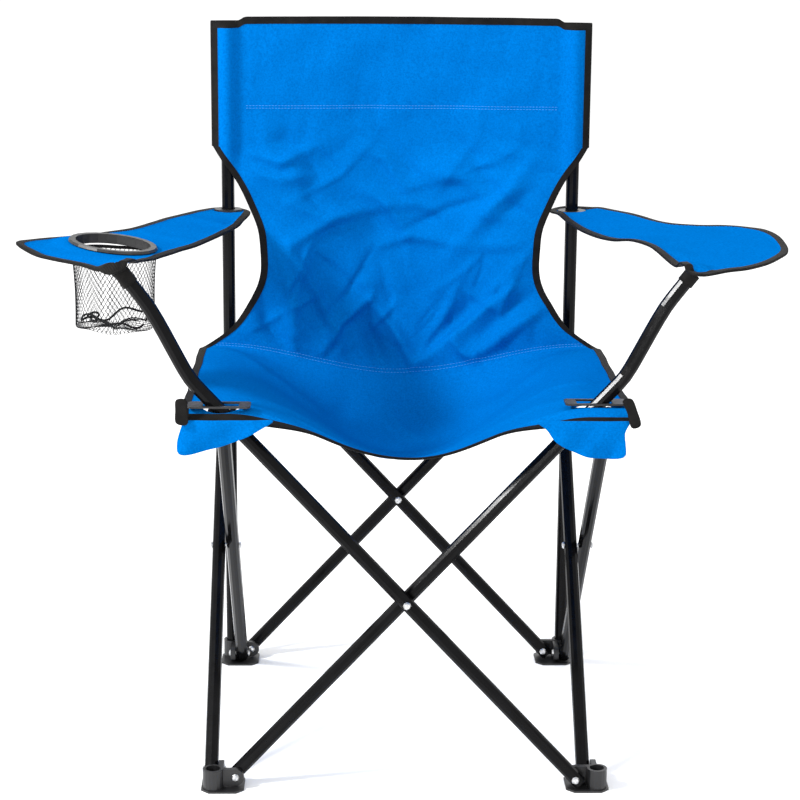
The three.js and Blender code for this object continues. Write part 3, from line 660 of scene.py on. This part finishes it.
def sleeve(label, skin, skin_normals):
    """The cloth round one post: the front skin, from its inner edge outwards, and its mirror image."""
    behind = skin[:, ::-1].copy()
    behind[..., 1] = 2 * POST - behind[..., 1] + 0.6
    around = np.concatenate([skin, behind[:, 1:]], axis=1)
    outward = SIDES[label] * grid_normals(around)
    outward[:, : skin.shape[1] - 2] = skin_normals[:, :-2]
    rows, girth = around.shape[:2]
    half, slots = bound_top(rows, girth)
    edge = (girth - 1) // 2
    half[:-4, edge - 3:edge + 4] = TAPE_HALF
    slots[:, edge - 3:edge + 3] = 1
    run = np.pad(np.cumsum(np.linalg.norm(np.diff(around, axis=1), axis=2), axis=1), ((0, 0), (1, 0)))
    uvs = np.stack([run, around[..., 2]], axis=2)
    grids = [grid[:, ::SIDES[label]] for grid in (around, outward, half, slots, uvs)]
    piece = grid_sheet(label + "_sleeve_cloth", *grids)
    return piece, (float(run[0, -1]) * MM, (SLING_TOP - SLEEVE_FOOT) * MM)


def upper_pieces(foot_row, foot_normals):
    """The panel between the sleeves and the sleeves, with flat sizes, and the skin they share."""
    front = upper_back(foot_row)
    normals = grid_normals(front)
    normals[0] = foot_normals
    first = int(np.argmin(np.abs(foot_row[:, 0] + SLEEVE_INNER)))
    last = len(foot_row) - 1 - first
    panel = slice(first, last + 1)
    half, slots = bound_top(len(front), last + 1 - first)
    skin = front[:, panel]
    piece = grid_sheet("back_upper_cloth", skin, normals[:, panel], half, slots, skin[..., [0, 2]])
    back = (piece, (2 * SLEEVE_INNER * MM, (SLING_TOP - SLEEVE_FOOT) * MM))
    sleeves = {
        "left": sleeve("left", front[:, first::-1], normals[:, first::-1]),
        "right": sleeve("right", front[:, last:], normals[:, last:]),
    }
    return back, sleeves, front, normals


# ---------------------------------------------------------------- cut and flat cloth


def oval(x, y, along, deep, sides):
    angles = np.linspace(0, 2 * math.pi, sides, endpoint=False)
    return [(x + along * math.cos(a), y + deep * math.sin(a)) for a in angles]


def prism(outline, low, high):
    count = len(outline)
    points = [(x, y, low) for x, y in outline] + [(x, y, high) for x, y in outline]
    faces = [tuple(range(count))[::-1], tuple(range(count, 2 * count))]
    faces += [(i, (i + 1) % count, (i + 1) % count + count, i + count) for i in range(count)]
    return mesh_object("cutter", points, faces, [BLUE], smooth=False)


def cut(piece, cutters):
    """Takes the cutters out of a closed piece, and removes them."""
    for cutter in cutters:
        modifier = piece.modifiers.new("cut", "BOOLEAN")
        modifier.operation = "DIFFERENCE"
        modifier.solver = "EXACT"
        modifier.object = cutter
    bpy.context.view_layer.update()
    done = piece.evaluated_get(bpy.context.evaluated_depsgraph_get())
    mesh = bpy.data.meshes.new_from_object(done)
    piece.modifiers.clear()
    old = piece.data
    piece.data = mesh
    bpy.data.meshes.remove(old)
    for cutter in cutters:
        bpy.data.objects.remove(cutter)


def closed_curve(points, spacing):
    """A smooth closed curve through the points, at an even spacing."""
    points = np.asarray(points, float)
    before, after, later = np.roll(points, 1, 0), np.roll(points, -1, 0), np.roll(points, -2, 0)
    t = np.linspace(0, 1, 24, endpoint=False)[:, None, None]
    curve = 0.5 * (
        2 * points + (after - before) * t + (2 * before - 5 * points + 4 * after - later) * t**2
        + (3 * points - before - 3 * after + later) * t**3
    )
    curve = curve.transpose(1, 0, 2).reshape(-1, points.shape[1])
    steps = np.linalg.norm(np.roll(curve, -1, 0)[:, :2] - curve[:, :2], axis=1)
    run = np.concatenate([[0], np.cumsum(steps)])
    count = int(run[-1] / spacing)
    wanted = np.linspace(0, run[-1], count, endpoint=False)
    ring = np.vstack([curve, curve[:1]])
    return np.stack([np.interp(wanted, run, ring[:, k]) for k in range(points.shape[1])], axis=1)


def signed_area(outline):
    x, y = outline[:, 0], outline[:, 1]
    return 0.5 * np.sum(x * np.roll(y, -1) - np.roll(x, -1) * y)


def edge_distance(points, outline):
    """Distance from each point to the outline, and whether it is inside."""
    start, end = outline[:, :2], np.roll(outline[:, :2], -1, 0)
    best = np.full(len(points), 1e9)
    inside = np.zeros(len(points), dtype=bool)
    for p, q in zip(start, end):
        d = q - p
        t = np.clip(((points - p) @ d) / max(d @ d, 1e-9), 0, 1)
        best = np.minimum(best, np.linalg.norm(points - (p + t[:, None] * d), axis=1))
        crosses = (p[1] > points[:, 1]) != (q[1] > points[:, 1])
        height = q[1] - p[1] if abs(q[1] - p[1]) > 1e-9 else 1e-9
        inside ^= crosses & (points[:, 0] < p[0] + (points[:, 1] - p[1]) * (q[0] - p[0]) / height)
    return best, inside


def sheet_points(outline, spacing, steps):
    """Points of a flat sheet: its outline, rings that follow the outline, and a staggered fill."""
    along = np.roll(outline, -1, 0) - np.roll(outline, 1, 0)
    inward = np.stack([-along[:, 1], along[:, 0]], 1) * np.sign(signed_area(outline))
    inward /= np.linalg.norm(inward, axis=1, keepdims=True)
    rings = [outline]
    for step in steps:
        ring = outline + inward * step
        distance, inside = edge_distance(ring, outline)
        rings.append(ring[inside & (distance > step - 0.15)])
    low, high = outline.min(0), outline.max(0)
    gx, gy = np.meshgrid(np.arange(low[0], high[0], spacing), np.arange(low[1], high[1], spacing * 0.87))
    gx[1::2] += spacing / 2
    fill = np.stack([gx.ravel(), gy.ravel()], 1)
    distance, inside = edge_distance(fill, outline)
    rings.append(fill[inside & (distance > steps[-1] + spacing * 0.6)])
    return np.concatenate(rings)


def triangulate(plane, outline):
    """Triangles between the points, inside the outline and turned one way, and their edge distance."""
    count = len(outline)
    edges = [(i, (i + 1) % count) for i in range(count)]
    found, _, triangles, *_ = delaunay_2d_cdt([Vector(p) for p in plane], edges, [], 0, 1e-5)
    plane = np.array([tuple(p) for p in found])
    triangles = np.array([t for t in triangles if len(t) == 3])
    distance, inside = edge_distance(plane[triangles].mean(1), outline)
    a, b, c = (plane[triangles[:, k]] for k in range(3))
    turn = (b[:, 0] - a[:, 0]) * (c[:, 1] - a[:, 1]) - (b[:, 1] - a[:, 1]) * (c[:, 0] - a[:, 0])
    keep = inside & (np.abs(turn) > 1e-4)
    triangles, flip = triangles[keep], turn[keep] < 0
    triangles[flip] = triangles[flip][:, ::-1]
    return plane, triangles, distance[keep]


def point_normals(points, triangles):
    a, b, c = (points[triangles[:, k]] for k in range(3))
    face_normals = np.cross(b - a, c - a)
    normals = np.zeros_like(points)
    for k in range(3):
        np.add.at(normals, triangles[:, k], face_normals)
    return normals / np.maximum(np.linalg.norm(normals, axis=1, keepdims=True), 1e-9)


def flat_sheet(name, outline, surface, spacing, half, bound=True, materials=None):
    """A closed sheet over a smooth outline in a plane, with or without binding round its edge."""
    outline = outline[:, :2]
    steps = (*TAPE_STEPS[1:], BINDING) if bound else PLAIN_STEPS
    plane, triangles, distance = triangulate(sheet_points(outline, spacing, steps), outline)
    near, _ = edge_distance(plane, outline)
    body = np.where(near < BINDING - 0.25, TAPE_HALF, half) if bound else half
    thick = np.where(near < 0.6, TAPE_EDGE_HALF if bound else half * 0.6, body)[:, None]
    middle = surface(plane)
    normals = point_normals(middle, triangles)
    total = len(plane)
    directed = dict.fromkeys((t[i], t[i - 2]) for t in triangles for i in range(3))
    rim = [(p, q) for p, q in directed if (q, p) not in directed]
    faces = [tuple(t) for t in triangles] + [tuple(t[::-1] + total) for t in triangles]
    faces += [(q, p, p + total, q + total) for p, q in rim]
    tape = (distance < BINDING - 0.3).astype(int) * bound
    slots = np.concatenate([tape, tape, np.full(len(rim), int(bound))])
    points = np.concatenate([middle + normals * thick, middle - normals * thick])
    return mesh_object(name, points, faces, materials or [BLUE, TAPE], slots, np.tile(plane, (2, 1)))


# ---------------------------------------------------------------- arms


def arm_surface(label, outline):
    """A function for the arm's cloth: it follows its edge and lies on the tube end, eyelet and ring."""
    side = SIDES[label]
    end_x, end_z = TUBE_END[label]

    def surface(plane):
        x, y = plane.T
        distance = np.linalg.norm(plane[:, None, :] - outline[None, :, :2], axis=2)
        weight = 1 / (distance**2 + 4)
        z = (weight * outline[None, :, 2]).sum(1) / weight.sum(1)
        near, _ = edge_distance(plane, outline)
        inner = smoothstep(2, 26, near)
        wave = 0.9 * ripple(x, y, 31 + side, 85) + 0.4 * ripple(x, y, 41 + side, 38)
        z = z + wave * inner + 0.63 * ripple(x, y * 0.8, 52 + side, 70) * (1 - inner)
        beyond = y - FRONT_TUBE_Y[label]
        over = (1 - smoothstep(9, 30, np.hypot(x - end_x, beyond))) * smoothstep(-13.5, -9.5, beyond)
        z = z + np.maximum(end_z - z, 0) * over
        flat = np.exp(-(np.hypot(x - side * POST, y - POST) / 26) ** 4)
        z = z * (1 - flat) + EYELET_Z * flat
        if label == "left":
            level = ARM_Z + ARM_SLOPE * (np.abs(x) - POST - 0.27 * (POST - y))
            hold = 1 - smoothstep(50, 74, np.hypot(x - CUP[0], y - CUP[1]))
            z = z * (1 - hold) + level * hold
        return np.stack([x, y, z], 1)

    return surface


def arm_piece(label):
    side = SIDES[label]
    outline = closed_curve([(side * x, y, z) for x, y, z in ARM_EDGES[label]], 3.6)
    piece = flat_sheet(label + "_arm_cloth", outline, arm_surface(label, outline), 5.0, ARM_HALF)
    rings = [oval(side * POST, POST, EYELET_HOLE, EYELET_HOLE, 48)]
    if label == "left":
        rings.append(oval(*CUP, CUP_HOLE, CUP_HOLE, 48))
    cut(piece, [prism(ring, ARM_Z - 40, ARM_Z + 40) for ring in rings])
    return piece


def arm_pocket(label):
    """The slim pocket of tape over the end of a front tube, sewn under the tip of its arm."""
    points, faces = strand([(SIDES[label] * x, y, z) for x, y, z in POCKET_LINES[label]], POCKET_RADIUS, 24)
    return mesh_object(label + "_arm_pocket_cloth", points, faces, [TAPE])


# ---------------------------------------------------------------- corner pieces, net and thread


def pouch_depth(x, z):
    """Depth of a blue pouch, which hangs in folds below a front corner of the seat."""
    drop = np.clip((436 - z) / 42, 0, 1)
    out = 4.2 * np.sin(x / 10.0 + z / 13.0) * drop
    out += 2.0 * np.sin(x / 6.5 - z / 12.0 + 1.0) * drop
    return -240.0 + 8.0 * drop**1.4 + out + 0.0006 * (x - 205) ** 2


def tab_depth(x, z):
    """Depth of the end of the side binding, folded down over a front corner of the seat."""
    return -242.3 + 3.5 * smoothstep(440, 457, z) + 0.5 * np.sin(z / 5.0)


def corner_piece(name, outline, depth, spacing, half, materials=None):
    """An unbound sheet at a front corner, whose depth is a function of (|x|, z)."""

    def surface(plane):
        x, z = plane.T
        return np.stack([x, depth(np.abs(x), z), z], 1)

    return flat_sheet(name, outline, surface, spacing, half, False, materials)


def strand(points, radius, sides):
    """Points and faces of one cord through a line of points."""
    points = np.asarray(points, float)
    tangent = np.gradient(points, axis=0)
    tangent /= np.linalg.norm(tangent, axis=1, keepdims=True)
    helper = np.where(np.abs(tangent[:, 2:3]) > 0.9, [[1.0, 0, 0]], [[0, 0, 1.0]])
    u = np.cross(tangent, helper)
    u /= np.linalg.norm(u, axis=1, keepdims=True)
    v = np.cross(tangent, u)
    angles = np.linspace(0, 2 * math.pi, sides, endpoint=False)[None, :, None]
    ring = points[:, None] + radius * (np.cos(angles) * u[:, None] + np.sin(angles) * v[:, None])
    count = len(points)
    faces = []
    for i in range(0, (count - 1) * sides, sides):
        for j in range(sides):
            k = (j + 1) % sides
            faces.append((i + j, i + k, i + sides + k, i + sides + j))
    faces.append(tuple(range(sides))[::-1])
    faces.append(tuple(range((count - 1) * sides, count * sides)))
    return ring.reshape(-1, 3), faces


def cords_object(name, lines, radius, material, sides):
    points, faces, base = [], [], 0
    for line in lines:
        ring, found = strand(line, radius, sides)
        points.append(ring)
        faces.extend([tuple(i + base for i in face) for face in found])
        base += len(ring)
    return mesh_object(name, np.concatenate(points), faces, [material])


def net_point(angle, t):
    """A point of the net bag: t runs from 0 at its top to 1 at the knot under its middle."""
    wall = min(t / NET_WALL, 1.0)
    floor = max((t - NET_WALL) / (1 - NET_WALL), 0.0)
    radius = NET_RADIUS - 2.5 * wall - 1.5 * math.sin(math.pi * wall) + 0.7 * math.sin(3 * angle + 1)
    radius *= 1 - 0.93 * floor**1.1
    top = 590.0 + ARM_SLOPE * max(0.0, -44 * math.cos(angle)) * 0.8
    bottom = 507.0 + 1.8 * math.sin(2 * angle + 0.6) + 1.2 * math.sin(5 * angle)
    z = top + (bottom - top) * wall
    z += floor * (6.0 + 5.0 * math.sin(3 * angle + 0.4)) * math.sin(math.pi * floor) - 2.0 * floor
    return (CUP[0] + radius * math.cos(angle), CUP[1] + radius * math.sin(angle), z)


def net_cord(start, way):
    """One cord of the net: it winds one way round the bag on its way down."""
    line = []
    for t in np.linspace(0, 1, NET_STEPS + 1):
        turn = 1.15 * min(t / NET_WALL, 1) + 0.25 * max(t - NET_WALL, 0)
        line.append(net_point(start + way * turn, t))
    return line


def gather_point(a):
    """A point of the cord that gathers the bag and lies in a loose wave at its bottom."""
    radius = 33 + 5 * math.sin(2 * a + 1.0)
    z = 516 + 6 * math.sin(2 * a) + 3 * math.sin(5 * a + 1)
    return (CUP[0] + radius * math.cos(a), CUP[1] + radius * math.sin(a), z)


def knot_point(a):
    """A point of the loose knot at the end of that cord."""
    x = CUP[0] - 22 + 5 * math.cos(a) * (1 + 0.3 * math.sin(3 * a))
    return (x, CUP[1] - 20 + 5 * math.sin(2 * a), 521 + 5 * math.sin(a))


def cup_net():
    starts = [2 * math.pi * k / NET_CORDS for k in range(NET_CORDS)]
    cords = [net_cord(start, way) for start in starts for way in (-1, 1)]
    turn = np.linspace(0, 2 * math.pi, 73)
    hoops = [[net_point(a, t) for a in turn] for t in (0.0, 0.015)]
    gather = [gather_point(a) for a in np.linspace(-0.2, 1.9 * math.pi, 90)]
    knot = [knot_point(a) for a in np.linspace(0, 6.0, 40)]
    return (
        cords_object("cup_net_cords", cords, CORD_RADIUS, NET, 4),
        cords_object("cup_net_rim", hoops, NET_RIM_RADIUS, NET, 6),
        cords_object("cup_net_gather", [gather, knot], GATHER_RADIUS, NET, 6),
    )


def along_run(at, run, values):
    """Rows of values taken at places along a run."""
    return np.stack([np.interp(at, run, values[:, k]) for k in range(3)], 1)


def stitches(name, line, normals):
    """Short stitches along a line on the cloth, standing a little above it."""
    run = np.concatenate([[0], np.cumsum(np.linalg.norm(np.diff(line, axis=0), axis=1))])
    lift = np.array([[STITCH_LIFT - 0.25], [STITCH_LIFT], [STITCH_LIFT - 0.25]])
    lines = []
    for start in np.arange(2, run[-1] - STITCH_LENGTH, STITCH_PITCH):
        at = start + STITCH_LENGTH * np.array([0, 0.5, 1])
        lines.append(along_run(at, run, line) + along_run(at, run, normals) * lift)
    return cords_object(name, lines, STITCH_RADIUS, THREAD, 4)


def row_at(height, front, grid):
    """Values of a grid along the level line of the upper back at one height."""
    columns = range(front.shape[1])
    return np.array([[np.interp(height, front[:, c, 2], grid[:, c, k]) for k in range(3)] for c in columns])


# ---------------------------------------------------------------- pieces on their bodies


def carry(piece, slot, body, *nodes):
    """Gives a piece its body, in place of the CAD solids that it stands for, which it hides; the slot is
    not used.
    """
    if nodes:
        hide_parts(*nodes)
    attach(piece, body)


def narrow(piece):
    """Gives the piece a mesh of its own."""
    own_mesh(piece)


def add_stitches(seams, front, normals):
    """The seam between seat and back, and the double row across the back between the sleeves."""
    names = (("seat_seam_stitches_low", "seat_rear_half"), ("seat_seam_stitches_high", "back_lower_panel"))
    for (name, body), seam in zip(names, seams):
        piece = stitches(name, *seam)
        carry(piece, "blue_cloth", body)
        narrow(piece)
    for name, height in STITCH_ROWS.items():
        line, out = row_at(height, front, front), row_at(height, front, normals)
        keep = np.abs(line[:, 0]) < SLEEVE_INNER - 1
        piece = stitches(name, line[keep], out[keep])
        carry(piece, "blue_cloth", "rear_left_corner")
        narrow(piece)


def add_sling():
    made, foot_row, foot_normals, seams = sling_pieces()
    back, sleeves, front, normals = upper_pieces(foot_row, foot_normals)
    slots = []
    for label, side in SIDES.items():
        slots.append(prism(oval(side * TUBE_SLOT_X, FRONT_TUBE_Y[label], *TUBE_SLOT, 32), 415, 470))
    cut(made["seat_hem"][0], slots)
    for node, (piece, flat) in made.items():
        if node in PANELS:
            carry(piece, "blue_cloth", PANELS[node][2], node)
        else:
            carry(piece, "blue_cloth", "rear_left_corner")
        narrow(piece)
    piece, flat = back
    carry(piece, "blue_cloth", "rear_left_corner", "back_upper")
    narrow(piece)
    for label, (piece, flat) in sleeves.items():
        carry(piece, "blue_cloth", f"rear_{label}_corner", label + "_sleeve")
    add_stitches(seams, front, normals)


def add_arms():
    for label, side in SIDES.items():
        piece = arm_piece(label)
        carry(piece, "blue_cloth", label + "_arm", label + "_armrest")
        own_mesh(piece)


def add_corners():
    """The pocket, the folded end of the binding and the pouch at each front corner."""
    for label, side in SIDES.items():
        leg = "front_leg_outer" if label == "left" else "front_leg_inner"
        corner = label + "_seat_corner"
        carry(arm_pocket(label), "black_tape", leg, label + "_arm_pocket")
        outline = closed_curve([(side * x, z) for x, z in TAB_EDGES[label]], 2.2)
        tab = corner_piece(label + "_corner_tab_cloth", outline, tab_depth, 3.5, TAB_HALF, [TAPE])
        carry(tab, "black_tape", corner)
        outline = closed_curve([(side * x, z) for x, z in POUCH_EDGES[label]], 3.0)
        pouch = corner_piece(label + "_pouch_cloth", outline, pouch_depth, 4.0, CLOTH_HALF)
        carry(pouch, "blue_cloth", corner, label + "_corner_pouch")


def add_cup_net():
    cords, rim, gather = cup_net()
    carry(cords, "black_net", "cup_holder", "cup_net")
    carry(rim, "black_net", "cup_holder")
    carry(gather, "black_net", "cup_holder")


# ---------------------------------------------------------------- stage


def add_floor():
    bpy.ops.mesh.primitive_plane_add(size=24, location=(0, 0, -0.0002))
    floor = bpy.context.object
    floor.name = "floor"
    material, tree, shader = new_material("pale_floor")
    colour(tree, shader, noise(tree, place(tree), 3.0), (0.94, 0.94, 0.94), (0.96, 0.96, 0.96))
    shader["Roughness"].default_value = 0.9
    floor.data.materials.append(material)


def add_light():
    world = bpy.data.worlds.new("studio")
    bpy.context.scene.world = world
    world.use_nodes = True
    background = world.node_tree.nodes["Background"].inputs
    background["Color"].default_value = (1, 1, 1, 1)
    background["Strength"].default_value = WORLD_STRENGTH
    for name, (spot, target, size, power) in LAMPS.items():
        data = bpy.data.lights.new(name, "AREA")
        data.shape = "SQUARE"
        data.size = size
        data.energy = power
        lamp = bpy.data.objects.new(name, data)
        lamp.location = spot
        lamp.rotation_euler = (Vector(target) - Vector(spot)).to_track_quat("-Z", "Y").to_euler()
        bpy.context.scene.collection.objects.link(lamp)


def add_camera():
    data = bpy.data.cameras.new("camera")
    data.lens = CAMERA_LENS
    data.sensor_width = 36
    data.dof.use_dof = False
    camera = bpy.data.objects.new("camera", data)
    bpy.context.scene.collection.objects.link(camera)
    yaw, pitch, roll = (math.radians(angle) for angle in CAMERA_TURN)
    forward = Vector((math.sin(yaw) * math.cos(pitch), math.cos(yaw) * math.cos(pitch), -math.sin(pitch)))
    right = Vector((math.cos(yaw), -math.sin(yaw), 0))
    up = right.cross(forward)
    across = right * math.cos(roll) + up * math.sin(roll)
    upward = up * math.cos(roll) - right * math.sin(roll)
    turn = Matrix((across, upward, -forward)).transposed()
    camera.matrix_world = Matrix.Translation(CAMERA_PLACE) @ turn.to_4x4()
    bpy.context.scene.camera = camera


def set_colours():
    view = bpy.context.scene.view_settings
    view.view_transform = "Standard"
    view.look = "None"
    view.exposure = 0.0


def cad_material(name):
    if "rivet" in name:
        return ZINC
    if "tube" in name or name.endswith("_post"):
        return TUBE
    return TAPE if "pocket" in name else PLASTIC


def colour_cad():
    for node in [o for o in bpy.context.scene.objects if o.type == "MESH"]:
        node.data.materials.clear()
        node.data.materials.append(cad_material(node.name))


colour_cad()
add_sling()
add_arms()
add_corners()
add_cup_net()
add_floor()
add_light()
set_colours()
add_camera()
